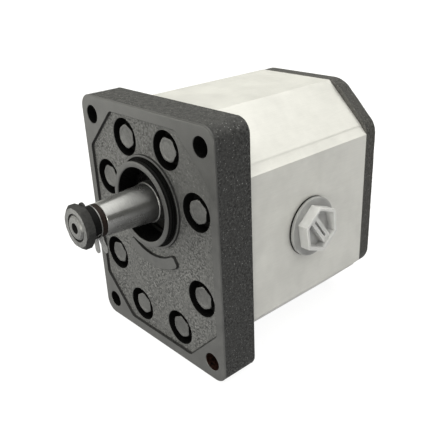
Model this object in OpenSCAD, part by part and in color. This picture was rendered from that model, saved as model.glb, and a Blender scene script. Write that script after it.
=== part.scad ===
// External gear pump: cast iron mounting flange, extruded aluminium body, cast iron rear cover.
// The origin is the centre of the pilot on the mounting face. +Y runs into the pump, +Z is up,
// and the drive shaft points along -Y. The driven gear lies straight below the drive gear.

/* [Mounting flange] */
// Width of the flange
flange_w = 120; // [116:1:130]
// Height of the flange
flange_h = 151; // [149:1:160]
// Thickness of the flange
flange_t = 24.5; // [24:0.5:28]
// Corner radius of the flange
flange_corner_r = 8.5; // [6:0.5:10]
// Spacing of the mounting holes across the flange
mount_dx = 98.5; // [98:0.5:99]
// Spacing of the mounting holes along the flange
mount_dz = 128; // [127:0.5:128]
// Diameter of the mounting holes
mount_hole_d = 11; // [9:0.5:11]
// Depth of the sunk cast field inside the machined rim
field_depth = 1.5; // [1:0.1:2]
// Diameter of the locating pilot
pilot_d = 50.8; // [50.4:0.1:51]
// Length of the pilot in front of the mounting face
pilot_len = 5.1; // [4.9:0.1:5.4]
// Diameter of the bore that holds the shaft seal
seal_bore_d = 44; // [43:0.5:44]

/* [Body] */
// Length of the gear body
body_len = 100.75; // [90:0.25:120]
// Half of the body's width
body_half_w = 58.4; // [57:0.1:59]
// Half of the body's height
body_half_h = 73; // [71:0.5:74]
// Distance between the two gear shafts
centre_distance = 42; // [42:1:42]

/* [Rear cover] */
// Thickness of the cover at its edge
cover_edge_t = 10; // [8:0.5:12]
// Height of the raised pad on the back of the cover
cover_pad_t = 8; // [8:0.5:12]
// Half of the cover's width
cover_half_w = 58.5; // [58:0.1:59]
// Half of the cover's height
cover_half_h = 73.1; // [72.5:0.1:74]

/* [Gears and shafts] */
// Number of teeth on each gear
teeth = 12; // [12:2:12]
// Gear module
gear_module = 3.5; // [3.5:0.5:3.5]
// Pressure angle of the teeth
pressure_angle = 28; // [27:1:29]
// Thickness taken off each tooth for backlash
backlash = 0.25; // [0.2:0.05:0.5]
// Diameter of the journals
journal_d = 24; // [23:0.5:24]
// Thickness of each bearing block
block_t = 20; // [18:0.5:22]
// Large end of the shaft's taper
taper_big_d = 22.8; // [22:0.1:23]
// Length of the 1:8 taper
taper_len = 32; // [30:0.5:32]
// Distance of the shaft's end in front of the mounting face
shaft_end = 47; // [46.5:0.5:49]
// Diameter of the thread on the shaft's end
shaft_thread_d = 14; // [13:0.5:14]

/* [Fasteners and ports] */
// Diameter of the body bolts
bolt_d = 8; // [8:0.5:10]
// Hex size of the body bolts
bolt_hex = 13; // [13:1:16]
// Diameter of the counterbores for the bolt heads
counterbore_d = 22; // [20:0.5:22]
// Depth of the counterbores from the mounting face
counterbore_depth = 9.2; // [8.5:0.1:10]
// Thread core diameter of the outlet port
outlet_d = 24.1; // [22:0.1:25]
// Thread core diameter of the inlet port
inlet_d = 30.3; // [28:0.1:31]

/* [Hidden] */
$fn = 96;

// Centre height of the body and the flange, midway between the two shafts
mid_z = -centre_distance / 2;
// Running gaps between solids
running_gap = 0.03;
side_gap = 0.1;
tip_gap = 0.3;

// Stations along Y
field_y = field_depth;
body_y = flange_t;
body_end = body_y + body_len;
cover_end = body_end + cover_edge_t;
pad_end = cover_end + cover_pad_t;
front_block_y = body_y + side_gap;
gear_y = front_block_y + block_t + side_gap;
rear_block_y = body_end - side_gap - block_t;
gear_end = rear_block_y - side_gap;
port_y = body_y + body_len / 2 - 1.5;

// Gear sizes
pitch_r = gear_module * teeth / 2;
base_r = pitch_r * cos(pressure_angle);
tip_r = pitch_r + 3.2;
root_r = pitch_r - 3.9;
chamber_r = tip_r + tip_gap;
journal_r = journal_d / 2;
bush_r = journal_r + 1.5;
gear_axes = [0, -centre_distance];

// Eight body bolts in two rows on each side of the centre
bolt_rows = [[19.1, 55.5], [41.25, 26.2]];
bolt_places = [for (row = bolt_rows, sx = [-1, 1], sz = [-1, 1]) [sx * row[0], mid_z + sz * row[1]]];
bolt_head_h = 5.4;
bolt_washer_t = 1;
bolt_end = pad_end - 3;
mount_places = [for (sx = [-1, 1], sz = [-1, 1]) [sx * mount_dx / 2, mid_z + sz * mount_dz / 2]];

// Seal pocket in the flange
circlip_y = 8.15;
circlip_t = 1.75;
seal_y = circlip_y + circlip_t + 0.1;
seal_t = 8;
seal_floor = seal_y + seal_t;
o_ring_r = 1.25;
o_ring_centre_r = pilot_d / 2 - o_ring_r - 0.05;
o_ring_y = -2.6;

// Shaft end, from the taper outwards
shoulder_y = -0.4;
taper_end = shoulder_y - taper_len;
taper_small_d = taper_big_d - taper_len / 8;
shaft_washer_t = 3.2;
tab_washer_t = 0.5;
lock_washer_t = 4.9;
tab_washer_y = taper_end - shaft_washer_t - tab_washer_t;
lock_washer_y = tab_washer_y - lock_washer_t;
nut_front = 0.6 - shaft_end;
nut_hex = 22;

// Woodruff key
key_angle = 205;
key_y = -16;
key_w = 4;
key_r = 9.5;
key_top = 12.4;
key_h = 7.5;

// Grooves of the seals
face_seal_r = 29;
face_seal_w = 3;
face_seal_depth = 2.2;
balance_r = 18;
balance_w = 3.4;
balance_depth = 3;
backup_t = 1;

// Port plugs
gasket_t = 1;
plug_flange_t = 1.8;
plug_head_h = 6.5;
plug_wall = 1.7;
outlet_plug_flange_d = 36;
outlet_plug_hex = 25.4;
inlet_plug_flange_d = 42;
inlet_plug_hex = 30;

function polar(r, a) = [r * cos(a), r * sin(a)];
function unit(v) = v / norm(v);

// Turned solid about the Y axis from [radius, y] points
module turned(points) rotate([-90, 0, 0]) rotate_extrude() polygon(points);

// Straight round bar along Y
module rod(y0, y1, r) turned([[0, y0], [r, y0], [r, y1], [0, y1]]);

// Plane shape in X and Z, thickened along Y from y0 to y1
module plate(y0, y1) translate([0, y1, 0]) rotate([90, 0, 0]) linear_extrude(y1 - y0) children();

// Children copied to each [x, z] place
module at_places(places) for (p = places) translate([p[0], 0, p[1]]) children();

// Children copied to both gear axes, in the plane of a plate
module on_axes() for (z = gear_axes) translate([0, z]) children();

// Convex outline with true arcs at its corners; radii are used in turn round the outline
module rounded_outline(points, radii) {
    n = len(points);
    ends = [for (i = [0:n - 1])
        let (b = points[i], u = unit(points[(i + n - 1) % n] - b), w = unit(points[(i + 1) % n] - b))
        [b, u, w, acos(u * w) / 2, radii[i % len(radii)]]];
    polygon([for (e = ends) each [e[0] + e[1] * e[4] / tan(e[3]), e[0] + e[2] * e[4] / tan(e[3])]]);
    for (e = ends) translate(e[0] + unit(e[1] + e[2]) * e[4] / sin(e[3])) circle(e[4]);
}

// Corner points of an octagon about the middle height, with the heights of its corner cuts
function octagon(half_w, half_h, top_cut, bottom_cut) = [
    for (s = [[1, 1], [-1, 1], [-1, -1], [1, -1]])
        let (cut = s[1] > 0 ? top_cut : bottom_cut,
             side = [s[0] * half_w, mid_z + s[1] * (half_h - cut)],
             end = [s[0] * (half_w - cut), mid_z + s[1] * half_h])
        each s[0] * s[1] > 0 ? [side, end] : [end, side]];

// Rectangle about the middle height
function rectangle(half_w, half_h) = [for (s = [[1, 1], [-1, 1], [-1, -1], [1, -1]])
    [s[0] * half_w, mid_z + s[1] * half_h]];

// Bar shape bent round an arc of radius r, width w, from angle a0 to a1, with round ends
module arc_bar(r, w, a0, a1) {
    span = (a1 - a0) / 2;
    reach = 2 * (r + w);
    intersection() {
        difference() {
            circle(r + w / 2);
            circle(r - w / 2);
        }
        polygon([[0, 0], polar(reach, a0), polar(reach, a0 + span), polar(reach, a1)]);
    }
    for (a = [a0, a1]) translate(polar(r, a)) circle(w / 2);
}

module flange_outline() rounded_outline(rectangle(flange_w / 2, flange_h / 2), [flange_corner_r]);

// Front flange: machined rim, sunk cast field, pilot, seal pocket and bolt counterbores
module front_flange() {
    rim_w = 5.7;
    field_cut = 24.5;
    pad_r = 37.35;
    pad_bar_w = 4.8;
    pad_half_angle = 31.5;
    pilot_chamfer = 0.4;
    shoulder_r = 27.8;
    groove_r = 1.3;
    undercut = 0.5;
    undercut_w = 1.2;
    color([0.38, 0.38, 0.36]) difference() {
        union() {
            plate(field_y, flange_t) flange_outline();
            plate(0, field_y + 0.5) difference() {
                flange_outline();
                rounded_outline(octagon(flange_w / 2 - rim_w, flange_h / 2 - rim_w - 1, field_cut, field_cut),
                    [4]);
            }
            plate(0, field_y + 0.5) for (dr = [-1.25, 0, 1.25])
                arc_bar(pad_r + dr, pad_bar_w, -90 - pad_half_angle, -90 + pad_half_angle);
            rod(0, field_y + 0.5, shoulder_r);
            turned([[0, -pilot_len], [pilot_d / 2 - pilot_chamfer, -pilot_len],
                [pilot_d / 2, pilot_chamfer - pilot_len], [pilot_d / 2, field_y + 0.5], [0, field_y + 0.5]]);
        }
        turned([[pilot_d / 2 - 0.2, -undercut], [pilot_d / 2 + undercut_w, -undercut],
            [pilot_d / 2 + undercut_w, undercut], [pilot_d / 2 - 0.2, undercut]]);
        rod(-pilot_len - 1, seal_floor, seal_bore_d / 2);
        rod(seal_floor - 1, flange_t + 1, journal_r + 1.5);
        rod(circlip_y - 0.05, circlip_y + circlip_t + 0.05, seal_bore_d / 2 + 1.3);
        turned([[o_ring_centre_r - o_ring_r - 0.1, o_ring_y - groove_r], [pilot_d, o_ring_y - groove_r],
            [pilot_d, o_ring_y + groove_r], [o_ring_centre_r - o_ring_r - 0.1, o_ring_y + groove_r]]);
        at_places(mount_places) rod(-1, flange_t + 1, mount_hole_d / 2);
        at_places(bolt_places) rod(-1, counterbore_depth, counterbore_d / 2);
        at_places(bolt_places) rod(0, flange_t + 1, bolt_d / 2 + 0.5);
        dowel_holes(body_y);
    }
}

dowel_r = 3;
dowel_half_len = 6;
dowel_places = [[-47, mid_z], [47, mid_z]];

// Holes for the two dowels that cross a joint face at Y = y
module dowel_holes(y) at_places(dowel_places)
    rod(y - dowel_half_len - 0.5, y + dowel_half_len + 0.5, dowel_r + 0.01);

module dowels(y) color([0.75, 0.75, 0.77]) at_places(dowel_places)
    translate([0, y, 0]) turned([[0, -dowel_half_len], [dowel_r - 0.5, -dowel_half_len],
        [dowel_r, 0.5 - dowel_half_len], [dowel_r, dowel_half_len - 0.5],
        [dowel_r - 0.5, dowel_half_len], [0, dowel_half_len]]);

module front_dowels() dowels(body_y);
module rear_dowels() dowels(body_end);

// Outline of the extruded body: flat sides, a narrow band, a small step and a long 45 degree corner cut
function body_corner() = [[body_half_w, body_half_h - 29.7], [body_half_w - 4, body_half_h - 25.6],
    [body_half_w - 4.3, body_half_h - 24.9], [body_half_w - 5, body_half_h - 24],
    [body_half_w - 28.5, body_half_h - 1.2], [body_half_w - 29.8, body_half_h]];
function body_outline() = let (c = body_corner(), last = len(c) - 1) [
    for (p = c) [p[0], mid_z + p[1]],
    for (i = [0:last]) [-c[last - i][0], mid_z + c[last - i][1]],
    for (p = c) [-p[0], mid_z - p[1]],
    for (i = [0:last]) [c[last - i][0], mid_z - c[last - i][1]]];

// Groove path of a body face seal round both gear chambers
module face_seal_path(w) difference() {
    on_axes() circle(face_seal_r + w / 2);
    on_axes() circle(face_seal_r - w / 2);
    translate([w / 2 - face_seal_r, -centre_distance]) square([2 * face_seal_r - w, centre_distance]);
}
module face_seal_ring(w) {
    face_seal_path(w);
    for (s = [-1, 1]) translate([s * face_seal_r - w / 2, -centre_distance]) square([w, centre_distance]);
}

// Extruded body with the two gear chambers and the side ports
module pump_body() color([0.78, 0.77, 0.74]) difference() {
    plate(body_y, body_end) polygon(body_outline());
    for (z = gear_axes) translate([0, 0, z]) rod(body_y - 1, body_end + 1, chamber_r);
    plate(body_y - 1, body_y + face_seal_depth) face_seal_ring(face_seal_w);
    plate(body_end - face_seal_depth, body_end + 1) face_seal_ring(face_seal_w);
    at_places(bolt_places) rod(body_y - 1, body_end + 1, bolt_d / 2 + 0.5);
    dowel_holes(body_y);
    dowel_holes(body_end);
    port(1, outlet_d, 20);
    port(-1, inlet_d, 26);
}

// Port on the side s: threaded mouth of diameter d and a passage to the chambers
module port(s, d, passage_d) {
    mouth_depth = 17;
    translate([s * (body_half_w + 1), port_y, mid_z]) rotate([0, -90 * s, 0]) {
        cylinder(h = mouth_depth + 1, d = d);
        cylinder(h = body_half_w - 8, d = passage_d);
    }
}

// Rear cover: flat plate with a raised pad and blind threads for the bolts
module rear_cover() {
    top_cut = 25.9;
    bottom_cut = 30.2;
    side_r = 13.5;
    end_r = 17.7;
    pad_inset = 9;
    pad_cut = 22.5;
    color([0.3, 0.28, 0.26]) difference() {
        union() {
            plate(body_end, cover_end)
                rounded_outline(octagon(cover_half_w, cover_half_h, top_cut, bottom_cut),
                    [side_r, end_r, end_r, side_r]);
            plate(cover_end, pad_end)
                rounded_outline(octagon(cover_half_w - pad_inset, cover_half_h - pad_inset, pad_cut, pad_cut),
                    [9]);
        }
        at_places(bolt_places) rod(body_end - 1, bolt_end + 1, bolt_d / 2 + 0.04);
        dowel_holes(body_end);
    }
}

// Involute tooth profile
function involute(r) = let (a = acos(base_r / r)) tan(a) * 180 / PI - a;
function half_tooth(r) = 90 / teeth - backlash / 2 / pitch_r * 180 / PI + involute(pitch_r) - involute(r);
flank_steps = 7;
function flank_r(i) = base_r + 0.01 + (tip_r - base_r - 0.01) * i / flank_steps;
function tooth(a) = concat(
    [polar(root_r, a - half_tooth(flank_r(0)) - 1.5)],
    [for (i = [0:flank_steps]) polar(flank_r(i), a - half_tooth(flank_r(i)))],
    [for (i = [flank_steps:-1:0]) polar(flank_r(i), a + half_tooth(flank_r(i)))],
    [polar(root_r, a + half_tooth(flank_r(0)) + 1.5)]);
module gear(turn) plate(gear_y, gear_end)
    polygon([for (k = [0:teeth - 1]) each tooth(turn + 360 / teeth * k)]);

// Round journals on both sides of a gear, from y0 to the back of the rear block
module journals(y0) {
    chamfer = 0.4;
    back = body_end - 1.2;
    turned([[0, y0], [journal_r - chamfer, y0], [journal_r, y0 + chamfer], [journal_r, back - chamfer],
        [journal_r - chamfer, back], [0, back]]);
}

// Disc-shaped blank of the Woodruff key, with side clearance c
module key_blank(c) rotate([0, -key_angle, 0]) translate([key_top - key_h + key_r, key_y, -key_w / 2 - c])
    cylinder(h = key_w + 2 * c, r = key_r + c);

// Drive shaft with its gear, taper, keyway, thread and centre drilling
module drive_gear_shaft() {
    neck_r = 6;
    thread_r = shaft_thread_d / 2 - 0.1;
    color([0.8, 0.8, 0.82]) difference() {
        union() {
            gear(-90);
            journals(shoulder_y);
            turned([[0, taper_end], [taper_small_d / 2 - 0.3, taper_end],
                [taper_small_d / 2, taper_end + 0.3], [taper_big_d / 2, shoulder_y],
                [journal_r - 1, shoulder_y + 2], [0, shoulder_y + 2]]);
            turned([[0, -shaft_end], [thread_r - 1, -shaft_end], [thread_r, 1 - shaft_end],
                [thread_r, taper_end - 3], [neck_r, taper_end - 2], [neck_r, taper_end + 1],
                [0, taper_end + 1]]);
        }
        key_blank(0.02);
        turned([[0, -shaft_end - 1], [3.6, -shaft_end - 1], [1.25, 3 - shaft_end], [1.25, 6 - shaft_end],
            [0, 6.7 - shaft_end]]);
    }
}

// Driven gear on its own short shaft
module driven_gear_shaft() color([0.72, 0.72, 0.74]) translate([0, 0, -centre_distance]) {
    gear(90 + 180 / teeth);
    journals(body_y + 1.2);
}

// Bearing block: two joined discs with bores for the bushes, a balance groove on the outer
// face and two relief pockets on the gear face; s is 1 when the gears are on the +Y side
module bearing_block(y0, s) {
    outer_face = s > 0 ? y0 : y0 + block_t;
    gear_face = s > 0 ? y0 + block_t : y0;
    relief = 1.5;
    color([0.7, 0.7, 0.68]) difference() {
        plate(y0, y0 + block_t) on_axes() circle(chamber_r - 0.1);
        for (z = gear_axes) translate([0, 0, z]) rod(y0 - 1, y0 + block_t + 1, bush_r + 0.01);
        plate(outer_face - (s > 0 ? 1 : balance_depth), outer_face + (s > 0 ? balance_depth : 1))
            balance_path(balance_w + 0.1);
        for (side = [-1, 1]) translate([side * 7 - 2.5, gear_face - relief, mid_z - 4])
            cube([5, 2 * relief, 8]);
    }
}
module front_bearing_block() bearing_block(front_block_y, 1);
module rear_bearing_block() bearing_block(rear_block_y, -1);

// Path of the pressure balance seal: two open rings joined in the middle, like a figure 3
module balance_path(w) {
    intersection() {
        difference() {
            on_axes() circle(balance_r + w / 2);
            on_axes() circle(balance_r - w / 2);
        }
        translate([-7, -centre_distance - 30]) square([40, centre_distance + 60]);
    }
    translate([-w / 2, mid_z - 4.5]) square([w, 9]);
}
module balance_seal(y0) color([0.08, 0.08, 0.08])
    plate(y0, y0 + balance_depth - backup_t - 0.1) balance_path(balance_w);
module backup_strip(y0) color([0.85, 0.83, 0.78]) plate(y0, y0 + backup_t) balance_path(balance_w);
module front_balance_seal() balance_seal(front_block_y + backup_t + 0.05);
module front_backup_strip() backup_strip(front_block_y);
module rear_balance_seal() balance_seal(body_end - side_gap - balance_depth + 0.05);
module rear_backup_strip() backup_strip(body_end - side_gap - backup_t);

// Plain bearing bush pressed into a block
module bush(y0, z) color([0.6, 0.45, 0.3]) translate([0, 0, z]) difference() {
    rod(y0 + 0.2, y0 + block_t - 0.4, bush_r);
    rod(y0 - 1, y0 + block_t + 1, journal_r + running_gap);
}
module drive_front_bush() bush(front_block_y, gear_axes[0]);
module drive_rear_bush() bush(rear_block_y, gear_axes[0]);
module driven_front_bush() bush(front_block_y, gear_axes[1]);
module driven_rear_bush() bush(rear_block_y, gear_axes[1]);

// Rubber seals in the two end faces of the body
module body_seal(y0) color([0.06, 0.06, 0.06])
    plate(y0, y0 + face_seal_depth - 0.1) face_seal_ring(face_seal_w - 0.2);
module front_body_seal() body_seal(body_y + 0.05);
module rear_body_seal() body_seal(body_end - face_seal_depth + 0.05);

// Lip seal round the drive shaft, open towards the pump, with a garter spring in its lip
spring_y = seal_y + 6;
spring_r = journal_r + 2.6;
module shaft_seal() color([0.1, 0.1, 0.1]) turned([[seal_bore_d / 2 - 0.02, seal_y],
    [seal_bore_d / 2 - 0.02, seal_floor - 0.3], [seal_bore_d / 2 - 2.5, seal_floor - 0.3],
    [seal_bore_d / 2 - 2.5, seal_y + 2.2], [journal_r + 2.8, seal_y + 2.2], [journal_r + 2, spring_y - 1],
    [journal_r + 1.7, spring_y + 1.2], [journal_r + 0.6, spring_y + 1.2], [journal_r + 0.05, spring_y - 0.2],
    [journal_r + 0.9, seal_y + 2], [journal_r + 0.9, seal_y + 1.4], [journal_r + 0.25, seal_y + 0.4],
    [journal_r + 0.6, seal_y]]);
module seal_spring() color([0.7, 0.7, 0.7]) translate([0, spring_y + 0.1, 0]) rotate([-90, 0, 0])
    rotate_extrude() translate([spring_r + 0.3, 0]) circle(0.8);

// Retaining ring in front of the seal, with two drilled lugs at its gap
module seal_circlip() {
    gap_angle = 150;
    lug_r = 2.6;
    ring_r = seal_bore_d / 2 - 0.5;
    lug_places = [for (a = [-8, 8]) polar(seal_bore_d / 2 - 3, gap_angle + a)];
    color([0.35, 0.35, 0.36]) plate(circlip_y, circlip_y + circlip_t) difference() {
        union() {
            arc_bar(ring_r, 3.2, gap_angle + 8, gap_angle + 180);
            arc_bar(ring_r, 3.2, gap_angle + 180, gap_angle + 352);
            for (p = lug_places) translate(p) circle(lug_r);
        }
        for (p = lug_places) translate(p) circle(1.1);
    }
}

// O-ring in the groove of the pilot
module pilot_o_ring() color([0.05, 0.05, 0.05]) translate([0, o_ring_y, 0]) rotate([-90, 0, 0])
    rotate_extrude() translate([o_ring_centre_r, 0]) circle(o_ring_r);

// Hexagon prism along Y with turned-down corners at the front and, where back is set, the back
module hex_head(y0, y1, across, back) {
    corner_r = across / sqrt(3);
    turned_r = 1.03 * across / 2;
    slope = (corner_r - turned_r) * tan(30);
    back_r = back ? turned_r : corner_r + 0.1;
    back_slope = back ? slope : 0;
    intersection() {
        translate([0, y1, 0]) rotate([90, 0, 0]) cylinder(h = y1 - y0, r = corner_r, $fn = 6);
        turned([[0, y0], [turned_r, y0], [corner_r + 0.1, y0 + slope + 0.06],
            [corner_r + 0.1, y1 - back_slope], [back_r, y1], [0, y1]]);
    }
}

// Eight hex bolts; each head has come to rest at its own angle
head_y = counterbore_depth - bolt_washer_t - bolt_head_h;
head_turns = [32, 32, 28, 56, 12, 56, 28, 24];
module body_bolts() color([0.5, 0.5, 0.48]) for (i = [0:len(bolt_places) - 1])
    translate([bolt_places[i][0], 0, bolt_places[i][1]]) rotate([0, -head_turns[i], 0]) {
        hex_head(head_y, head_y + bolt_head_h, bolt_hex, false);
        turned([[0, head_y + bolt_head_h - 1], [bolt_d / 2, head_y + bolt_head_h - 1],
            [bolt_d / 2, bolt_end - 1], [bolt_d / 2 - 1, bolt_end], [0, bolt_end]]);
    }
module bolt_washers() color([0.45, 0.45, 0.44]) at_places(bolt_places) difference() {
    rod(counterbore_depth - bolt_washer_t, counterbore_depth, 8);
    rod(0, counterbore_depth + 1, bolt_d / 2 + 0.25);
}

// Hex nut on the shaft's thread
module shaft_nut() color([0.25, 0.25, 0.24]) difference() {
    hex_head(nut_front, lock_washer_y, nut_hex, true);
    rod(-shaft_end - 1, lock_washer_y + 1, shaft_thread_d / 2 - 0.05);
    turned([[0, nut_front - 1], [shaft_thread_d / 2 + 1.4, nut_front - 1],
        [shaft_thread_d / 2 - 0.2, nut_front + 0.8], [0, nut_front + 0.8]]);
}

// Split spring washer behind the nut, with a short lug that stands up against the nut
module lock_washer() {
    lug_t = 1.2;
    lug_r = 3.2;
    lug_end = 12.4;
    color([0.12, 0.12, 0.12]) difference() {
        union() {
            rod(lock_washer_y, tab_washer_y, 9.1);
            plate(lock_washer_y, lock_washer_y + lug_t) rotate(96) {
                translate([6, -lug_r]) square([lug_end - lug_r - 6, 2 * lug_r]);
                translate([lug_end - lug_r, 0]) circle(lug_r);
            }
        }
        rod(lock_washer_y - 1, tab_washer_y + 1, shaft_thread_d / 2 + 0.2);
        rotate([0, 40, 0]) translate([6, lock_washer_y - 1, -1.2]) rotate([25, 0, 0])
            cube([6, 2 * lock_washer_t, 1]);
    }
}

// Thin washer with two tabs that hang below it
module tab_washer() {
    tab_end = 18.3;
    tab_w = 4.4;
    color([0.7, 0.7, 0.68]) plate(tab_washer_y, tab_washer_y + tab_washer_t) difference() {
        union() {
            circle(9.4);
            for (a = [-86, -54]) rotate(a) {
                translate([6, -tab_w / 2]) square([tab_end - tab_w / 2 - 6, tab_w]);
                translate([tab_end - tab_w / 2, 0]) circle(tab_w / 2);
            }
        }
        circle(shaft_thread_d / 2 + 0.2);
    }
}

// Plain washer against the end of the taper
module shaft_washer() color([0.14, 0.11, 0.1]) difference() {
    rod(taper_end - shaft_washer_t, taper_end, 9.4);
    rod(taper_end - shaft_washer_t - 1, taper_end + 1, shaft_thread_d / 2 + 0.2);
}

// Woodruff key: the disc blank with a flat top
module shaft_key() color([0.6, 0.6, 0.6]) intersection() {
    key_blank(0);
    rotate([0, -key_angle, 0]) translate([0, key_y - key_r - 1, -key_w])
        cube([key_top, 2 * key_r + 2, 2 * key_w]);
}

// Plastic transport plug: round flange, hollow hex head with a slotted bar, and a plain stub
module plug(s, d, flange_d, hex) {
    stub_len = 13;
    head_r = hex / sqrt(3);
    pocket = hex - 2 * plug_wall;
    pocket_depth = plug_head_h - 0.7;
    bar_w = 6;
    bar_drop = 1.4;
    slot_w = 1.6;
    hex_turn = 9 * s;
    bar_turn = 38 * s;
    flange_x = body_half_w + gasket_t;
    head_top = plug_flange_t + plug_head_h;
    color([0.8, 0.8, 0.76]) translate([s * flange_x, port_y, mid_z]) rotate([0, 90 * s, 0]) {
        difference() {
            union() {
                cylinder(h = plug_flange_t, d = flange_d);
                rotate(hex_turn) cylinder(h = head_top, r = head_r, $fn = 6);
                translate([0, 0, -stub_len]) cylinder(h = stub_len + 1, d = d - 0.1);
            }
            difference() {
                translate([0, 0, head_top - pocket_depth]) rotate(hex_turn)
                    cylinder(h = pocket_depth + 1, r = pocket / sqrt(3), $fn = 6);
                rotate(bar_turn) translate([-hex, -bar_w / 2, 0]) cube([2 * hex, bar_w, head_top - bar_drop]);
            }
            rotate(bar_turn) translate([-0.3 * hex, -slot_w / 2, head_top - bar_drop - 3])
                cube([0.6 * hex, slot_w, 5]);
            translate([0, 0, -stub_len - 1]) cylinder(h = stub_len, d = d - 4);
        }
    }
}
module gasket(s, d, flange_d) color([0.05, 0.05, 0.05]) translate([s * body_half_w, port_y, mid_z])
    rotate([0, 90 * s, 0]) difference() {
        cylinder(h = gasket_t, d = flange_d + 0.4);
        translate([0, 0, -1]) cylinder(h = gasket_t + 2, d = d + 0.2);
    }
module outlet_plug() plug(1, outlet_d, outlet_plug_flange_d, outlet_plug_hex);
module inlet_plug() plug(-1, inlet_d, inlet_plug_flange_d, inlet_plug_hex);
module outlet_gasket() gasket(1, outlet_d, outlet_plug_flange_d);
module inlet_gasket() gasket(-1, inlet_d, inlet_plug_flange_d);

front_flange();
pump_body();
rear_cover();
drive_gear_shaft();
driven_gear_shaft();
front_bearing_block();
rear_bearing_block();
drive_front_bush();
drive_rear_bush();
driven_front_bush();
driven_rear_bush();
front_body_seal();
rear_body_seal();
front_balance_seal();
rear_balance_seal();
front_backup_strip();
rear_backup_strip();
shaft_seal();
seal_spring();
seal_circlip();
pilot_o_ring();
body_bolts();
bolt_washers();
front_dowels();
rear_dowels();
shaft_nut();
lock_washer();
tab_washer();
shaft_washer();
shaft_key();
outlet_plug();
outlet_gasket();
inlet_plug();
inlet_gasket();
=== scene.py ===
import math

import bmesh
import bpy
import numpy as np
from mathutils import Matrix, Vector, geometry, noise


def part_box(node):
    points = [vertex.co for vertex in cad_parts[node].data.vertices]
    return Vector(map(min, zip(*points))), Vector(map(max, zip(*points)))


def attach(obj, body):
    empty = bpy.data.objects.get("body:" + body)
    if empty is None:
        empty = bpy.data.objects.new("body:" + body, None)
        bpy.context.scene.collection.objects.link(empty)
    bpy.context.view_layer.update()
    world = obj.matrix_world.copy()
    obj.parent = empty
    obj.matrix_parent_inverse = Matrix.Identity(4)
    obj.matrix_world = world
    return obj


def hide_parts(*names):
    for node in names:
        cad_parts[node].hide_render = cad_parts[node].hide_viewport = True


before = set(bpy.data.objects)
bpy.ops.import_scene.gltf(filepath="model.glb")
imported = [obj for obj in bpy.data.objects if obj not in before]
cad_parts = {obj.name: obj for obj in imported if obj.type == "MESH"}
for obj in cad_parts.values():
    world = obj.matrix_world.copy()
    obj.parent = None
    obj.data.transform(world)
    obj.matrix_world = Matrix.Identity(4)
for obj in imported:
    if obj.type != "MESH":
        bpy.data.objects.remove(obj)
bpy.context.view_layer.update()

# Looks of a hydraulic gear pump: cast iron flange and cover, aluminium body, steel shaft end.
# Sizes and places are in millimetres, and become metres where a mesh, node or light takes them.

MM = 0.001
TAU = 2 * math.pi


def box_mm(node):
    """Lowest and highest corner of a CAD node in millimetres."""
    lo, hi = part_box(node)
    return [v / MM for v in lo], [v / MM for v in hi]


# Places taken from the frame, in millimetres
flange_lo, flange_hi = box_mm("front_flange")
cover_lo, cover_hi = box_mm("rear_cover")
mid_z = (flange_lo[2] + flange_hi[2]) / 2
axis = (0, 0)
stud_end_y = box_mm("drive_gear_shaft")[0][1]
taper_small_y = box_mm("shaft_washer")[1][1]

# Flange
pilot_len = -flange_lo[1]
flange_t = flange_hi[1]
flange_half_w = flange_hi[0]
flange_half_h = (flange_hi[2] - flange_lo[2]) / 2
flange_corner_r = 8.5
field_y = 1.5
field_half_w = flange_half_w - 5.7
field_half_h = flange_half_h - 6.7
field_cut = 24.5
field_corner_r = 4
pad_r = (33.7, 41.0)
pad_turn = (math.radians(-121.5), math.radians(-58.5))
pad_corner_r = 2.4
mount_hole_r = 5.5
mount_half_w, mount_half_h = 49.25, 64
mount_places = [(sx * mount_half_w, mid_z + sz * mount_half_h) for sx in (-1, 1) for sz in (-1, 1)]

# Pilot and seal bore
shoulder_r = 27.8
pilot_r = 25.4
pilot_relief_r, pilot_relief_y = pilot_r + 1.2, 0.5
pilot_foot_r, pilot_foot_y = pilot_r - 0.2, -0.5
ring_groove_r, ring_groove_y = 22.75, (-1.3, -3.9)
pilot_lip_y = -4.4
seal_bore_r = 22
seal_floor = 18
circlip_groove_r, circlip_groove_y = 23.3, (8.1, 9.95)
shaft_bore_r = 13.5
turned_points = 176

# Rear cover
cover_edge_y = cover_lo[1] + 10
cover_half_w, cover_half_h = 58.5, 73.1
cover_cuts = (25.9, 30.2)
cover_corner_r = [13.5, 17.7, 17.7, 13.5]
cover_pad_inset, cover_pad_cut, cover_pad_corner_r = 9, 22.5, 9

# Body bolts and dowels
bolt_rows = [(19.1, 55.5), (41.25, 26.2)]
bolt_places = [(sx * x, mid_z + sz * z) for x, z in bolt_rows for sx in (-1, 1) for sz in (-1, 1)]
bolt_passage_r = 4.5
bolt_clearance = 0.04
bolt_rest = 3
counterbore_r = 11
counterbore_y = 9.2
bolt_r = 4
bolt_hex = 13
bolt_head_h = 5.4
head_turns = [32, 32, 28, 56, 12, 56, 28, 24]
dowel_places = [(-47, mid_z), (47, mid_z)]
dowel_r = 3.01
dowel_depth = 6.5

# Shaft end and plugs
nut_hex = 22
nut_bore_r = 6.95
drilling_r = 3.5
shoulder_face_y = (-0.5, 0.1)
shoulder_face_r = 11
lock_washer_r = 9.2
plug_head_h = 6.5


# ---------------------------------------------------------------- outlines


def unit(v):
    """Vector of length 1 along v."""
    return v / np.linalg.norm(v)


def circle(place, radius, count=None):
    """Closed round outline, with 36 points or more, about 1 mm apart."""
    count = count or max(36, 4 * round(radius * TAU / 4))
    a = np.arange(count) * TAU / count
    return np.stack([place[0] + radius * np.cos(a), place[1] + radius * np.sin(a)], 1)


def arc(centre, radius, a0, a1, step=0.6):
    """Points along an arc from angle a0 to a1, both ends included."""
    count = max(3, math.ceil(abs(a1 - a0) * radius / step))
    a = np.linspace(a0, a1, count + 1)
    return np.stack([centre[0] + radius * np.cos(a), centre[1] + radius * np.sin(a)], 1)


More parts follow.
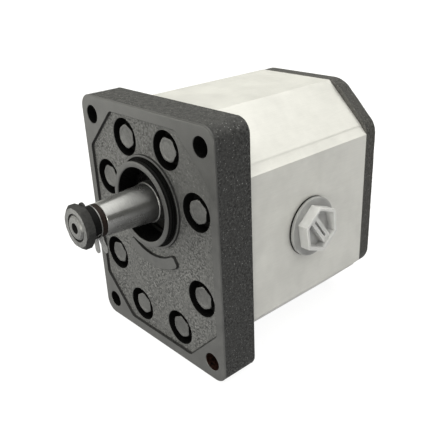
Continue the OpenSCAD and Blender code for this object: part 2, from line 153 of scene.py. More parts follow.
def round_corner(a, b, c, radius):
    """Arc that rounds the corner at b between a and c."""
    u, w = unit(a - b), unit(c - b)
    half = math.acos(float(np.clip(u @ w, -1, 1))) / 2
    centre = b + unit(u + w) * radius / math.sin(half)
    start = b + u * radius / math.tan(half) - centre
    end = b + w * radius / math.tan(half) - centre
    a0 = math.atan2(start[1], start[0])
    sweep = (math.atan2(end[1], end[0]) - a0 + math.pi) % TAU - math.pi
    return arc(centre, radius, a0, a0 + sweep)


def outline(corners, radii, step=1.0):
    """Closed outline through corners, rounded by radii in turn, with points about step apart."""
    corners = [np.array(c, float) for c in corners]
    n = len(corners)
    arcs = [round_corner(corners[i - 1], corners[i], corners[(i + 1) % n], radii[i % len(radii)])
            for i in range(n)]
    points = []
    for i, bend in enumerate(arcs):
        points += list(bend)
        a, b = bend[-1], arcs[(i + 1) % n][0]
        count = max(1, round(float(np.linalg.norm(b - a)) / step))
        points += [a + (b - a) * k / count for k in range(1, count)]
    return np.array(points)


def profile(corners, radius, steps=3):
    """Open line through corners, with every inner corner rounded by the same small radius.
    Where two roundings share a side, each takes less than half of it."""
    shared, share = 0.48, 0.98
    corners = [np.array(c, float) for c in corners]
    points = [corners[0]]
    for a, b, c in zip(corners, corners[1:], corners[2:]):
        u, w = unit(a - b), unit(c - b)
        before = (1.0 if a is corners[0] else shared) * np.linalg.norm(a - b)
        after = (1.0 if c is corners[-1] else shared) * np.linalg.norm(c - b)
        cut = min(radius, share * before, share * after)
        for k in range(steps + 1):
            t = k / steps
            points.append(b + u * cut * (1 - t) ** 2 + w * cut * t ** 2)
    return points + [corners[-1]]


def outward(loop):
    """Outward normals of a closed outline that runs anticlockwise."""
    ahead = np.roll(loop, -1, 0) - loop
    ahead /= np.linalg.norm(ahead, axis=1)[:, None]
    along = ahead + np.roll(ahead, 1, 0)
    along /= np.linalg.norm(along, axis=1)[:, None]
    return np.stack([along[:, 1], -along[:, 0]], 1)


def grow(loop, distance):
    """Closed outline moved outward by a distance."""
    return loop + outward(loop) * distance


def inside(points, loop):
    """Which points lie inside a closed outline."""
    x, z = points[:, 0][:, None], points[:, 1][:, None]
    a, b = loop, np.roll(loop, -1, 0)
    crosses = (a[:, 1] > z) != (b[:, 1] > z)
    with np.errstate(divide="ignore", invalid="ignore"):
        at = (b[:, 0] - a[:, 0]) * (z - a[:, 1]) / (b[:, 1] - a[:, 1]) + a[:, 0]
    return (crosses & (x < at)).sum(1) % 2 == 1


quarters = ((1, 1), (-1, 1), (-1, -1), (1, -1))


def octagon(half_w, half_h, top_cut, bottom_cut):
    """Anticlockwise corners of an octagon about the middle height."""
    corners = []
    for sx, sz in quarters:
        cut = top_cut if sz > 0 else bottom_cut
        side = (sx * half_w, mid_z + sz * (half_h - cut))
        end = (sx * (half_w - cut), mid_z + sz * half_h)
        corners += [side, end] if sx * sz > 0 else [end, side]
    return corners


def rectangle(half_w, half_h):
    """Anticlockwise corners of a rectangle about the middle height."""
    return [(sx * half_w, mid_z + sz * half_h) for sx, sz in quarters]


def arc_pad(inner_r, outer_r, a0, a1, corner_r):
    """Band round the shaft axis from angle a0 to a1 with rounded ends."""
    low, high = inner_r + corner_r, outer_r - corner_r
    step = 1.0
    parts = [arc(axis, outer_r, a0, a1, step)]

    def corner(a, radius, turn):
        centre = (radius * math.cos(a), radius * math.sin(a))
        parts.append(arc(centre, corner_r, a + math.radians(turn), a + math.radians(turn + 90))[1:])

    corner(a1, high, 0)
    corner(a1, low, 90)
    parts.append(arc(axis, inner_r, a1, a0, step)[1:])
    corner(a0, low, 180)
    corner(a0, high, 270)
    return np.concatenate(parts)[:-1]


def area(tri):
    """Area of a flat triangle."""
    (ax, az), (bx, bz), (cx, cz) = tri
    return abs((bx - ax) * (cz - az) - (cx - ax) * (bz - az)) / 2


def patches(tris, fences):
    """Groups of triangles that are joined without crossing a fence line."""
    fenced = {tuple(sorted(f)) for f in fences}
    beside = {}
    for n, tri in enumerate(tris):
        for i in range(3):
            side = tuple(sorted((tri[i - 1], tri[i])))
            if side not in fenced:
                beside.setdefault(side, []).append(n)
    near = {}
    for a, b in (pair for pair in beside.values() if len(pair) == 2):
        near.setdefault(a, []).append(b)
        near.setdefault(b, []).append(a)
    seen = set()
    for first in range(len(tris)):
        if first in seen:
            continue
        seen.add(first)
        group, ahead = [], [first]
        while ahead:
            n = ahead.pop()
            group.append(tris[n])
            for m in near.get(n, []):
                if m not in seen:
                    seen.add(m)
                    ahead.append(m)
        yield group


# ---------------------------------------------------------------- meshes


crease = math.radians(38)


def add(name, data):
    """New object in the scene."""
    obj = bpy.data.objects.new(name, data)
    bpy.context.scene.collection.objects.link(obj)
    return obj


class Shell:
    """Closed mesh in millimetres, built from rings. Points that coincide are shared.
    cast says how much of the casting's roughness a point gets, from 0 to 1."""

    def __init__(self):
        self.points, self.cast, self.index = [], [], {}
        self.faces, self.slots = [], []

    def point(self, x, y, z, cast=0.0):
        """Number of the point at a place, which is new unless one is there already."""
        key = (round(float(x), 3), round(float(y), 3), round(float(z), 3))
        i = self.index.get(key)
        if i is None:
            i = self.index[key] = len(self.points)
            self.points.append((float(x), float(y), float(z)))
            self.cast.append(cast)
        self.cast[i] = min(self.cast[i], cast)
        return i

    def face(self, ids, slot):
        """Face through points, without repeated ones."""
        kept = [a for k, a in enumerate(ids) if a != ids[k - 1]]
        if len(kept) > 2 and len(set(kept)) == len(kept):
            self.faces.append(kept)
            self.slots.append(slot)

    def ring(self, loop, y, cast=0.0):
        """Points of an outline at y."""
        return [self.point(p[0], y, p[1], cast) for p in loop]

    def strips(self, rings, slot):
        """Faces between each ring and the next."""
        for a, b in zip(rings, rings[1:]):
            for i in range(len(a)):
                self.face([a[i - 1], a[i], b[i], b[i - 1]], slot)

    def wall(self, loop, steps, slot, cast=0.0):
        """Strips along an outline. Each step is (outward offset, y). The first and last ring stay
        smooth, where other surfaces meet them."""
        rings = []
        for k, (offset, y) in enumerate(steps):
            rough = cast if 0 < k < len(steps) - 1 else 0.0
            rings.append(self.ring(grow(loop, offset), y, rough))
        self.strips(rings, slot)

    def lathe(self, line, slot):
        """Surface turned about the shaft axis, from (radius, y) points."""
        self.strips([self.ring(circle(axis, r, turned_points), y) for r, y in line], slot)

    def sheet(self, y, outer, holes, slot, cast=0.0, step=1.1):
        """Flat face at y between an outline and its holes, filled with a loose grid of triangles."""
        row, clear, same_point = 0.87, 0.6 * step, 1e-5
        loops = [outer, *holes]
        edge = np.concatenate(loops)
        low, high = outer.min(0), outer.max(0)
        grid = np.array([
            ((i + 0.5 * (j % 2)) * step, j * step * row)
            for j in range(int(low[1] / step / row), int(high[1] / step / row) + 1)
            for i in range(int(low[0] / step), int(high[0] / step) + 1)
        ])
        grid = grid[inside(grid, outer)]
        for hole in holes:
            grid = grid[~inside(grid, hole)]
        far = np.array([np.min(np.hypot(*(edge - g).T)) > clear for g in grid])
        grid = grid[far] if len(grid) else np.zeros((0, 2))
        lines, start = [], 0
        for loop in loops:
            n = len(loop)
            lines += [(start + k, start + (k + 1) % n) for k in range(n)]
            start += n
        given = np.concatenate([edge, grid])
        flat = [Vector(p) for p in given]
        out, sides, tris, _, fenced, _ = geometry.delaunay_2d_cdt(flat, lines, [], 0, same_point)
        at = np.array([given[i] if i < len(given) else tuple(p) for i, p in enumerate(out)])
        made = [self.point(p[0], y, p[1], cast if i >= len(edge) else 0.0) for i, p in enumerate(at)]
        for patch in patches(tris, [side for side, kept in zip(sides, fenced) if kept]):
            largest = max(patch, key=lambda tri: area(at[list(tri)]))
            middle = at[list(largest)].mean(0)[None]
            if inside(middle, outer)[0] and not any(inside(middle, hole)[0] for hole in holes):
                for tri in patch:
                    self.face([made[i] for i in tri], slot)

    def build(self, name, body, node, materials, grain=0.0):
        """Turns the shell into a Blender object that rides on a body and stands for a CAD node.
        grain is the height of the casting's roughness."""
        mesh = bpy.data.meshes.new(name)
        mesh.from_pydata([tuple(c * MM for c in p) for p in self.points], [], self.faces)
        for m in materials:
            mesh.materials.append(m)
        mesh.polygons.foreach_set("material_index", self.slots)
        bm = bmesh.new()
        bm.from_mesh(mesh)
        bmesh.ops.recalc_face_normals(bm, faces=bm.faces)
        if grain:
            bm.normal_update()
            moves = [v.normal * sand(v.co / MM) * grain * MM * self.cast[v.index] for v in bm.verts]
            for v, move in zip(bm.verts, moves):
                v.co += move
        bm.to_mesh(mesh)
        bm.free()
        mesh.shade_smooth()
        mesh.set_sharp_from_angle(angle=crease)
        obj = add(name, mesh)
        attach(obj, body)
        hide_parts(node)


def sand(p):
    """Uneven height of a sand casting at a point in millimetres, from about -1 to 0."""
    grains, lumps, apart = 0.85, 0.13, 7
    fine = noise.noise(Vector((p.x * grains, p.y * grains, p.z * grains)))
    broad = noise.noise(Vector((p.x * lumps, p.y * lumps + apart, p.z * lumps)))
    return -0.5 + 0.55 * fine + 0.35 * broad


def stations(y0, y1, step):
    """Evenly spaced y values from y0 to y1, both included."""
    count = max(1, math.ceil(abs(y1 - y0) / step))
    return [y0 + (y1 - y0) * k / count for k in range(count + 1)]


# ---------------------------------------------------------------- materials


class Nodes:
    """Node tree of one material, with short calls for the nodes that the materials here use."""

    def __init__(self, name, metallic, roughness):
        self.material = bpy.data.materials.new(name)
        self.material.use_nodes = True
        self.tree = self.material.node_tree
        self.shader = self.tree.nodes["Principled BSDF"]
        self.shader.inputs["Metallic"].default_value = metallic
        self.shader.inputs["Roughness"].default_value = roughness
        self.place = self.add("ShaderNodeTexCoord").outputs["Object"]

    def add(self, kind, **settings):
        """New node of a kind, with its settings."""
        node = self.tree.nodes.new(kind)
        for key, value in settings.items():
            setattr(node, key, value)
        return node

    def link(self, out, socket):
        self.tree.links.new(out, socket)

    def stretched(self, scale):
        """Object coordinates stretched by a factor on each axis."""
        node = self.add("ShaderNodeMapping")
        node.inputs["Scale"].default_value = scale
        self.link(self.place, node.inputs["Vector"])
        return node.outputs["Vector"]

    def shifted(self, by):
        """Object coordinates moved aside, for a pattern of its own."""
        node = self.add("ShaderNodeMapping")
        node.inputs["Location"].default_value = by
        self.link(self.place, node.inputs["Vector"])
        return node.outputs["Vector"]

    def noise(self, size_mm, detail=2.0, roughness=0.5, at=None):
        """Noise whose features are about size_mm across."""
        node = self.add("ShaderNodeTexNoise")
        node.inputs["Scale"].default_value = 1 / (size_mm * MM)
        node.inputs["Detail"].default_value = detail
        node.inputs["Roughness"].default_value = roughness
        self.link(at or self.place, node.inputs["Vector"])
        return node.outputs["Fac"]

    def ramp(self, value, stops):
        """Colour or grey ramp from (position, colour) stops."""
        node = self.add("ShaderNodeValToRGB")
        line = node.color_ramp.elements
        while len(line) < len(stops):
            line.new(0.5)
        for mark, (position, colour) in zip(line, stops):
            mark.position = position
            grey = isinstance(colour, (int, float))
            mark.color = (colour, colour, colour, 1) if grey else (*colour, 1)
        self.link(value, node.inputs["Fac"])
        return node.outputs["Color"]

    def math(self, operation, a, b):
        """Result of a sum on two sockets or numbers."""
        node = self.add("ShaderNodeMath", operation=operation)
        for socket, value in zip(node.inputs, (a, b)):
            if isinstance(value, (int, float)):
                socket.default_value = value
            else:
                self.link(value, socket)
        return node.outputs["Value"]

    def stained(self, colour, factor):
        """Colour times a grey factor."""
        node = self.add("ShaderNodeVectorMath", operation="MULTIPLY")
        self.link(colour, node.inputs[0])
        self.link(factor, node.inputs[1])
        return node.outputs["Vector"]

    def fade(self, centre_mm, inner_mm, outer_mm, low):
        """Factor that is low close to a point and 1 away from it."""
        node = self.add("ShaderNodeVectorMath", operation="DISTANCE")
        self.link(self.place, node.inputs[0])
        node.inputs[1].default_value = [c * MM for c in centre_mm]
        return self.ramp(node.outputs["Value"], [(inner_mm * MM, low), (outer_mm * MM, 1.0)])

    def bump(self, height, depth_mm, strength=1.0, under=None):
        """Normal of a relief, which may lie on another relief."""
        node = self.add("ShaderNodeBump")
        node.inputs["Strength"].default_value = strength
        node.inputs["Distance"].default_value = depth_mm * MM
        self.link(height, node.inputs["Height"])
        if under:
            self.link(under, node.inputs["Normal"])
        return node.outputs["Normal"]

    def finish(self, colour, normal=None, roughness=None):
        """Links what varies to the shader and gives the material."""
        self.link(colour, self.shader.inputs["Base Color"])
        if normal:
            self.link(normal, self.shader.inputs["Normal"])
        if roughness:
            self.link(roughness, self.shader.inputs["Roughness"])
        return self.material


# Where sand and tools left the flange's face smoother, and where painted shade darkens it towards the upper
# right: place, then the distances over which that fades and how strong it is
smooth_and_shade_place = (50, 0, 32)
calm_relief = (18, 42, 0.25)
painted_shade_tone = (10, 75, 0.62)


def cast_iron(name, dark, light, tint=(1, 1, 1), shine=0.5, painted_glint=0.0, pits=0.5, gloss=(0.45, 0.7),
              smooth_and_shaded=False):
    """Sand cast iron under thin dark paint: pitted grains in patches, with a few painted glints."""
    n = Nodes(name, 0.0, 0.5)
    n.shader.inputs["Specular IOR Level"].default_value = shine
    grain = n.noise(1.3, 3, 0.62)
    lump = n.noise(3.2, 2)
    patch = n.noise(15, 3, 0.6)
    rough_part = n.ramp(patch, [(0.40, 1.0), (0.60, 0.35)])
    # On the flange's face the grain is smoothed, and further down its colour is darkened towards the upper
    # right by painted shade.
    if smooth_and_shaded:
        rough_part = n.math("MULTIPLY", rough_part, n.fade(smooth_and_shade_place, *calm_relief))
    relief = n.math("MULTIPLY", n.math("SUBTRACT", grain, 0.5), rough_part)
    lumps = n.math("ADD", n.math("MULTIPLY", lump, 0.4), 0.3)
    mix = n.math("ADD", n.math("MULTIPLY", relief, pits * 4), lumps)
    tone = n.ramp(mix, [(0.12, dark), (0.5, (dark + light) / 2), (0.88, light)])
    # Painted glints: rare bright specks in the colour that stand in for light sparkling on the grains.
    bright = n.ramp(n.noise(0.9, 1, 0.5, n.shifted((31, 7, 12))), [(0.69, 0.0), (0.73, painted_glint)])
    total = n.math("ADD", tone, bright)
    # Painted shade: the flange's colour darkens towards its upper right.
    if smooth_and_shaded:
        total = n.math("MULTIPLY", total, n.fade(smooth_and_shade_place, *painted_shade_tone))
    colour = n.ramp(total, [(0.0, 0.0), (1.0, tint)])
    normal = n.bump(relief, 0.9, 1.0, n.bump(lump, 0.5, 0.7))
    rough = n.ramp(lump, [(0.35, gloss[0]), (0.65, gloss[1])])
    return n.finish(colour, normal, rough)


def machined_iron(name, dark, light):
    """Face-milled iron under the same thin paint: smooth, with faint marks, and darker towards the upper
    right by painted shade.
    """
    n = Nodes(name, 0.3, 0.42)
    fine = n.noise(0.5, 3, 0.6)
    patch = n.noise(9, 4, 0.6)
    mix = n.math("ADD", n.math("MULTIPLY", fine, 0.35), n.math("MULTIPLY", patch, 0.65))
    tone = n.ramp(mix, [(0.35, dark), (0.65, light)])
    # Painted shade: darker towards the flange's upper right.
    colour = n.stained(tone, n.fade(smooth_and_shade_place, *painted_shade_tone))
    normal = n.bump(fine, 0.03, 0.6, n.bump(n.noise(3, 3), 0.05, 0.4))
    rough = n.ramp(patch, [(0.3, 0.36), (0.7, 0.52)])
    return n.finish(colour, normal, rough)


def bare_metal(name, dark, light, roughness, lines=(1, 1, 1), depth=0.01, metallic=1.0, shine=0.5,
               stain=0.0, along=0.0):
    """Metal with fine tool marks. lines squeezes the marks across the cut, stain darkens broad
    patches, and along draws the highlight out along the shaft."""
    n = Nodes(name, metallic, roughness)
    n.shader.inputs["Specular IOR Level"].default_value = shine
    if along:
        n.shader.inputs["Anisotropic"].default_value = along
        n.shader.inputs["Anisotropic Rotation"].default_value = 0.25
        n.link(n.add("ShaderNodeTangent", direction_type="RADIAL", axis="Y").outputs["Tangent"],
               n.shader.inputs["Tangent"])
    marks = n.noise(1.2, 4, 0.6, n.stretched(lines))
    patch = n.noise(14, 4, 0.55)
    mix = n.math("ADD", n.math("MULTIPLY", marks, 0.5), n.math("MULTIPLY", patch, 0.5))
    colour = n.ramp(mix, [(0.35, dark), (0.65, light)])
    if stain:
        colour = n.stained(colour, n.ramp(n.noise(38, 4, 0.65), [(0.38, 1 - stain), (0.58, 1.0)]))
    rough = n.ramp(patch, [(0.3, roughness * 0.85), (0.7, min(1.0, roughness * 1.2))])
    return n.finish(colour, n.bump(marks, depth, 0.8), rough)


def rubber(name, dark, light):
    """Dull moulded rubber with a fine texture."""
    n = Nodes(name, 0.0, 0.6)
    n.shader.inputs["Specular IOR Level"].default_value = 0.06
    fine = n.noise(0.6, 3)
    return n.finish(n.ramp(fine, [(0.35, dark), (0.65, light)]), n.bump(fine, 0.03, 0.5))


def moulded(name, dark, light):
    """Moulded plastic: soft sheen over a very fine texture and slow flow marks."""
    n = Nodes(name, 0.0, 0.42)
    n.shader.inputs["Subsurface Weight"].default_value = 0.7
    n.shader.inputs["Subsurface Radius"].default_value = (1.0, 1.0, 1.0)
    n.shader.inputs["Subsurface Scale"].default_value = 4 * MM
    fine = n.noise(0.35, 2)
    flow = n.noise(6, 3)
    colour = n.ramp(flow, [(0.35, dark), (0.65, light)])
    normal = n.bump(fine, 0.015, 0.6, n.bump(flow, 0.06, 0.4))
    rough = n.ramp(flow, [(0.3, 0.36), (0.7, 0.5)])
    return n.finish(colour, normal, rough)


cover_tint = (1.0, 0.96, 0.90)
rust_tint = (1.0, 0.4, 0.28)

machined = machined_iron("machined_flange", 0.070, 0.102)
rough_cast = cast_iron("cast_flange", 0.018, 0.135, painted_glint=0.12, pits=0.9, smooth_and_shaded=True)
# Near-black copy of the cast for the walls of the field and pad and the shoulder's foot: painted shade.
painted_shade_wall = cast_iron("painted_shade_wall", 0.006, 0.030, shine=0.25)
# Near black, for the pilot's outer side.
pilot_near_black = cast_iron("pilot_near_black", 0.001, 0.006, shine=0.06, gloss=(0.6, 0.8))
# Darker copy of the cast for the flange's sides and top: partly painted shade, for faces that get less
# light than the front.
shaded_flank_cast = cast_iron("shaded_cast_flank", 0.003, 0.042, shine=0.4, painted_glint=0.2, pits=1.1)
cover_cast = cast_iron("cast_cover", 0.010, 0.068, cover_tint, shine=0.4, painted_glint=0.12)
# Lighter copy of the cover's cast for its front face, which faces away from the light above: painted light.
lit_ledge_cast = cast_iron("lit_cast_ledge", 0.04, 0.14, cover_tint, shine=0.4)
bore_black = cast_iron("bore_black", 0.001, 0.004, shine=0.08, gloss=(0.7, 0.9))
bore_rust = cast_iron("bore_rust", 0.0005, 0.035, rust_tint, shine=0.1, pits=1.0)

aluminium = bare_metal("satin_aluminium", (0.59, 0.585, 0.565), (0.66, 0.655, 0.63), 0.45, (4, 0.12, 4),
                       metallic=0.35, stain=0.09)
ground = bare_metal("ground_steel", 0.235, 0.385, 0.28, (0.4, 7, 0.4), metallic=0.92, along=0.75)
bolt_steel = bare_metal("bolt_steel", 0.06, 0.13, 0.48, depth=0.03, metallic=0.4)
black_steel = bare_metal("black_oxide", 0.022, 0.046, 0.5, depth=0.02, metallic=0.0, shine=0.06)
worn_steel = bare_metal("worn_steel", 0.095, 0.235, 0.42, depth=0.03, metallic=0.6)
washer_black = bare_metal("washer_black", 0.003, 0.006, 0.6, depth=0.02, metallic=0.0, shine=0.1)
washer_brown = bare_metal("washer_brown", (0.002, 0.0015, 0.001), (0.020, 0.012, 0.009), 0.5,
                          depth=0.03, metallic=0.0, shine=0.15)
plated = bare_metal("plated_steel", 0.16, 0.30, 0.36, depth=0.012, metallic=0.7)
# Bright steel that only paints highlights: the lock washer's split and the circlip's inner edge.
spring = bare_metal("spring_steel", 0.30, 0.50, 0.3)
dull_spring = bare_metal("dull_spring", 0.002, 0.006, 0.5, metallic=0.0, shine=0.1)
bronze = bare_metal("bush_bronze", (0.35, 0.2, 0.1), (0.5, 0.3, 0.16), 0.35)
black_rubber = rubber("black_rubber", 0.004, 0.009)
ring_rubber = rubber("ring_rubber", 0.006, 0.013)
plug_plastic = moulded("plug_plastic", 0.47, 0.53)
disc_plastic = moulded("disc_plastic", 0.27, 0.32)
backup_plastic = moulded("backup_plastic", (0.75, 0.72, 0.66), (0.8, 0.78, 0.72))


# ---------------------------------------------------------------- pieces


def paint_node(node, material, slot, modifiers):
    """Shows a CAD node as it is, with a material and modifiers, given as (kind, settings)."""
    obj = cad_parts[node]
    obj.data.materials.clear()
    obj.data.materials.append(material)
    for kind, settings in modifiers:
        m = obj.modifiers.new(kind.lower(), kind)
        for key, value in settings.items():
            setattr(m, key, value)


def edge_rounding(width_mm, segments=3):
    """Modifiers that join the CAD mesh, round its sharp edges and keep its flat faces flat."""
    same_point, sharp = 0.002 * MM, math.radians(35)
    return (
        ("WELD", {"merge_threshold": same_point}),
        ("BEVEL", {"width": width_mm * MM, "segments": segments, "limit_method": "ANGLE",
                   "angle_limit": sharp}),
        ("WEIGHTED_NORMAL", {"weight": 100, "thresh": 0.01}),
    )


def flange():
    """Machined rim, shoulder, pad and pilot; cast field and sides; black counterbores; painted shade on the
    sides and on the walls of field, pad and shoulder foot.
    """
    s = Shell()
    milled, cast, black, flank, rust, pilot, wall = range(7)
    materials = [machined, rough_cast, bore_black, shaded_flank_cast, bore_rust, pilot_near_black, painted_shade_wall]
    front_edge, back_edge, lead, bore_lead = 1.0, 1.2, 0.3, 0.25
    field_foot, pad_foot, shoulder_foot, tiny = 0.6, 0.5, 0.25, 0.15
    outer = outline(rectangle(flange_half_w, flange_half_h), [flange_corner_r])
    field = outline(octagon(field_half_w, field_half_h, field_cut, field_cut), [field_corner_r])
    pad = arc_pad(*pad_r, *pad_turn, pad_corner_r)
    holes = [circle(p, mount_hole_r) for p in mount_places]
    bores = [circle(p, counterbore_r) for p in bolt_places]
    passages = [circle(p, bolt_passage_r) for p in bolt_places]
    dowels = [circle(p, dowel_r) for p in dowel_places]
    shoulder_hole = circle(axis, shoulder_r + shoulder_foot, turned_points)
    shaft_hole = circle(axis, shaft_bore_r, turned_points)
    hole_mouths = [grow(h, lead) for h in holes]

    s.sheet(0, grow(outer, -front_edge), [grow(field, lead)] + hole_mouths, milled)
    s.sheet(field_y, grow(field, -field_foot),
            [grow(pad, pad_foot), shoulder_hole] + [grow(b, bore_lead) for b in bores], cast, cast=1.0)
    s.sheet(0, grow(pad, -lead), [], milled)
    s.sheet(flange_t, grow(outer, -back_edge), hole_mouths + passages + dowels + [shaft_hole], cast, 0.0, 3)

    rim = profile([(-front_edge, 0), (0, 0), (0, front_edge)], front_edge, 4)
    flank_ys = stations(front_edge + 0.3, flange_t - back_edge - 0.3, 1.0)
    back = profile([(0, flange_t - back_edge), (0, flange_t), (-back_edge, flange_t)], back_edge)
    s.wall(outer, rim, milled, 0.0)
    s.wall(outer, [rim[-1], *[(0, y) for y in flank_ys], back[0]], flank, 1.0)
    s.wall(outer, back, flank, 0.6)
    # The walls of the field and pad and the shoulder's foot take painted shade.
    field_wall = [(lead, 0), (0, 0), (-tiny, field_y), (-field_foot, field_y)]
    s.wall(field, profile(field_wall, 0.35), wall, 0.3)
    s.wall(pad, profile([(-lead, 0), (0, 0), (0.1, field_y), (pad_foot, field_y)], 0.3), wall, 0.2)
    for hole, place in zip(holes, mount_places):
        rusty = place[0] > 0 and place[1] < mid_z
        s.wall(hole, [(lead, 0), (0, lead)], milled)
        s.wall(hole, [(0, y) for y in stations(lead, flange_t - lead, 4)], rust if rusty else black)
        s.wall(hole, [(0, flange_t - lead), (lead, flange_t)], cast)
    for bore, passage in zip(bores, passages):
        s.wall(bore, [(bore_lead, field_y), (0, field_y + lead)], milled)
        s.wall(bore, [(0, y) for y in stations(field_y + lead, counterbore_y, 2)], black)
        s.sheet(counterbore_y, bore, [passage], black, 0.0, 2)
        s.wall(passage, [(0, y) for y in stations(counterbore_y, flange_t, 4)], black)
    for dowel in dowels:
        s.wall(dowel, [(0, flange_t), (0, flange_t - dowel_depth)], black)
        s.sheet(flange_t - dowel_depth, dowel, [], black, 0.0, 2)

    relief_mid = pilot_relief_y / 2
    lip_edge = 0.6
    groove_front, groove_back = ring_groove_y
    clip_front, clip_back = circlip_groove_y
    foot = profile([(shoulder_r + shoulder_foot, field_y), (shoulder_r, field_y - 0.3), (shoulder_r, 0.3)],
                   shoulder_foot)
    shoulder = profile([foot[-1], (shoulder_r, 0), (pilot_relief_r, 0), (pilot_relief_r, relief_mid)],
                       shoulder_foot)
    outside = profile([(pilot_relief_r, relief_mid), (pilot_relief_r, pilot_relief_y),
                       (pilot_foot_r, pilot_relief_y), (pilot_foot_r, pilot_foot_y),
                       (pilot_r, pilot_foot_y), (pilot_r, groove_front),
                       (ring_groove_r, groove_front), (ring_groove_r, groove_back),
                       (pilot_r, groove_back), (pilot_r, pilot_lip_y)], tiny)
    outside.append((pilot_r, -pilot_len + lip_edge))
    lip = profile([outside[-1], (pilot_r, -pilot_len), (seal_bore_r, -pilot_len),
                   (seal_bore_r, pilot_lip_y)], lip_edge)
    pocket = profile([(seal_bore_r, pilot_lip_y), (seal_bore_r, clip_front),
                      (circlip_groove_r, clip_front), (circlip_groove_r, clip_back),
                      (seal_bore_r, clip_back), (seal_bore_r, seal_floor),
                      (shaft_bore_r, seal_floor), (shaft_bore_r, flange_t - 0.5),
                      (shaft_bore_r, flange_t)], tiny)
    for line, slot in ((foot, wall), (shoulder, milled), (outside, pilot), (lip, milled), (pocket, black)):
        s.lathe(line, slot)
    s.build("flange_casting", "housing", "front_flange", materials, 0.16)


def cover():
    """Cast rear cover with a raised pad, rounded edges and blind bolt holes; its front face is lightened by
    painted light.
    """
    s = Shell()
    cast, ledge = range(2)
    front_edge, rear_edge, pad_foot, pad_edge = 0.5, 1.2, 2.5, 2.2
    front_y, pad_y = cover_lo[1], cover_hi[1]
    rear_y = cover_edge_y
    plate = outline(octagon(cover_half_w, cover_half_h, *cover_cuts), cover_corner_r)
    pad_half_w, pad_half_h = cover_half_w - cover_pad_inset, cover_half_h - cover_pad_inset
    pad = outline(octagon(pad_half_w, pad_half_h, cover_pad_cut, cover_pad_cut), [cover_pad_corner_r])
    bolts = [circle(p, bolt_r + bolt_clearance) for p in bolt_places]
    dowels = [circle(p, dowel_r) for p in dowel_places]

    # The front face and its rounded edge take the lighter copy: painted light.
    s.sheet(front_y, grow(plate, -front_edge), bolts + dowels, ledge, 0.0, 3)
    front = profile([(-front_edge, front_y), (0, front_y), (0, front_y + front_edge)], front_edge)
    flank_ys = stations(front_y + 1.2, rear_y - rear_edge - 0.5, 1.0)
    rear = profile([(0, rear_y - rear_edge), (0, rear_y), (-rear_edge, rear_y)], rear_edge, 5)
    s.wall(plate, front, ledge, 0.3)
    s.wall(plate, [front[-1], *[(0, y) for y in flank_ys], rear[0]], cast, 1.0)
    s.wall(plate, rear, cast, 1.0)
    s.sheet(rear_y, grow(plate, -rear_edge), [grow(pad, pad_foot)], cast, 1.0)
    rise = profile([(pad_foot, rear_y), (0, rear_y), (0, pad_y), (-pad_edge, pad_y)], pad_edge, 5)
    half = len(rise) // 2
    rise[half:half] = [(0, y) for y in stations(rear_y + 3, pad_y - 3, 1.0)]
    s.wall(pad, rise, cast, 1.0)
    s.sheet(pad_y, grow(pad, -pad_edge), [], cast, 1.0)
    for loops, depth, step in ((bolts, pad_y - front_y - bolt_rest, 6), (dowels, dowel_depth, 3)):
        for loop in loops:
            s.wall(loop, [(0, y) for y in stations(front_y, front_y + depth, step)], cast)
            s.sheet(front_y + depth, loop, [], cast, 0.0, 3)
    s.build("cover_casting", "housing", "rear_cover", [cover_cast, lit_ledge_cast], 0.22)


def hexagon(across, turn_deg):
    """Outline of a hexagon about the origin; turn_deg is the angle of its first corner."""
    reach, corner_r = across / math.sqrt(3), 0.5
    angles = [math.radians(turn_deg + 60 * k) for k in range(6)]
    return outline([(reach * math.cos(a), reach * math.sin(a)) for a in angles], [corner_r], 0.7)


def hex_line(reach, across, y0, y1, inner, back):
    """Profile of a hex head in a direction where the hexagon reaches out to reach. The face is
    turned to a cone that meets the sides; with back, the rear face is turned too."""
    turned_r, face_inset, least_drop = 0.515 * across, 0.25, 0.05
    face_r = min(turned_r, reach) - face_inset
    drop = max(0.0, reach - turned_r) * math.tan(math.radians(30)) + least_drop
    line = [*inner, (face_r, y0), (reach, y0 + drop)]
    return line + ([(reach, y1 - drop), (face_r, y1)] if back else [(reach, y1)])


def hex_solid(s, place, across, turn_deg, y0, y1, inner, after, slot_of, back=False):
    """Hexagon head or nut: one profile for each direction, joined round the axis. slot_of gets
    the least radius, greatest radius and least y of a face, and returns its slot."""
    edge = 0.3
    lines = []
    for p in hexagon(across, turn_deg):
        reach = float(np.hypot(*p))
        line = profile(hex_line(reach, across, y0, y1, inner, back) + after, edge)
        lines.append([(place[0] + p[0] / reach * r, y, place[1] + p[1] / reach * r, r) for r, y in line])
    for k in range(len(lines[0]) - 1):
        for i, line in enumerate(lines):
            last = lines[i - 1]
            corners = [last[k], line[k], line[k + 1], last[k + 1]]
            radii = [corner[3] for corner in corners]
            slot = slot_of(min(radii), max(radii), min(corner[1] for corner in corners))
            s.face([s.point(x, y, z) for x, y, z, _ in corners], slot)


def bolts():
    """Eight hex bolts, each head at its own angle: worn faces and dark sides."""
    lo, hi = box_mm("body_bolts")
    head_y, end_y = lo[1], hi[1]
    under = head_y + bolt_head_h
    after = [(bolt_r, under), (bolt_r, end_y - 1), (bolt_r - 1, end_y), (0, end_y)]
    dish_y = head_y + 0.25
    dish = [(0, dish_y), (bolt_hex * 0.36, dish_y), (bolt_hex * 0.41, head_y)]
    side_r, side_y = bolt_hex * 0.42, head_y + 0.12

    def slot_of(near, far, front):
        return 1 if near > side_r and front > side_y else 0

    for i, (place, turn) in enumerate(zip(bolt_places, head_turns)):
        s = Shell()
        hex_solid(s, place, bolt_hex, turn, head_y, under, dish, after, slot_of)
        s.build(f"body_bolt_{i + 1}", "housing", "body_bolts", [bolt_steel, washer_black])


